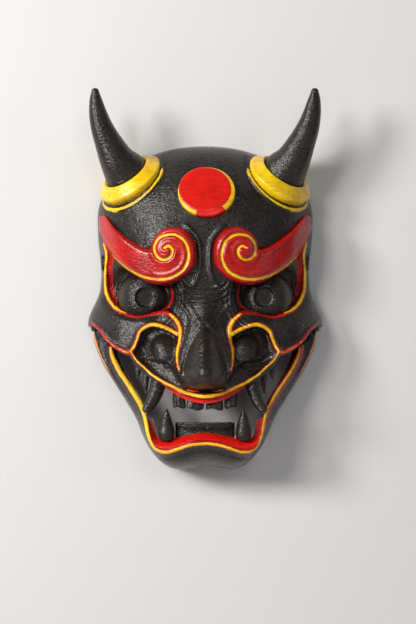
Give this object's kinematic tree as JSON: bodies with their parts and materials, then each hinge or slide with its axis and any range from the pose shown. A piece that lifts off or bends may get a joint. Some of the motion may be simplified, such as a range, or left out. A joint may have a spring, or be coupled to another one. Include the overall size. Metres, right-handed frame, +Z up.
{
  "type": "wall-hung demon noh mask",
  "caption": "Horned demon mask in the noh style with scroll brows, round pierced eyes, tusks, fangs and a separate swinging lower jaw, hung on a wall by a keyhole plate.",
  "frame": {"origin": "centre of the round part of the hanging keyhole, on the wall plane at the back of the mask", "axes": "+Z up, the mask faces -Y with the wall plane at y = 0, +X is the viewer's right"},
  "size_m": [0.1548, 0.0794, 0.2463],
  "materials": {
    "black_lacquer": "satin black lacquer over fine build lines",
    "red_paint": "glossy brushed red paint",
    "gold_paint": "brushed yellow paint",
    "steel": "zinc-plated steel"
  },
  "bodies": {
    "face": {"face_shell": "black_lacquer", "forehead_disc": "red_paint", "forehead_crescent": "gold_paint", "upper_gum": "red_paint", "upper_teeth": "black_lacquer", "hanger_plate": "steel", "hanger_screws": "steel", "horn_collar_left": "gold_paint", "horn_left": "black_lacquer", "horn_screw_left": "steel", "brow_left": "red_paint", "eye_left": "black_lacquer", "hinge_pin_left": "steel", "cord_eyelet_left": "black_lacquer", "tusk_left": "black_lacquer", "back_teeth_left": "black_lacquer", "horn_collar_right": "gold_paint", "horn_right": "black_lacquer", "horn_screw_right": "steel", "brow_right": "red_paint", "eye_right": "black_lacquer", "hinge_pin_right": "steel", "cord_eyelet_right": "black_lacquer", "tusk_right": "black_lacquer", "back_teeth_right": "black_lacquer"},
    "jaw": {"jaw_shell": "black_lacquer", "lower_gum": "red_paint", "lower_teeth": "black_lacquer", "lower_fang_left": "black_lacquer", "lower_fang_right": "black_lacquer"}
  },
  "joints": [
    {"name": "jaw_open", "type": "hinge", "parent": "face", "child": "jaw", "pos_m": [0, -0.0075, -0.099], "axis": [1, 0, 0], "range_deg": [-7, 0]}
  ]
}
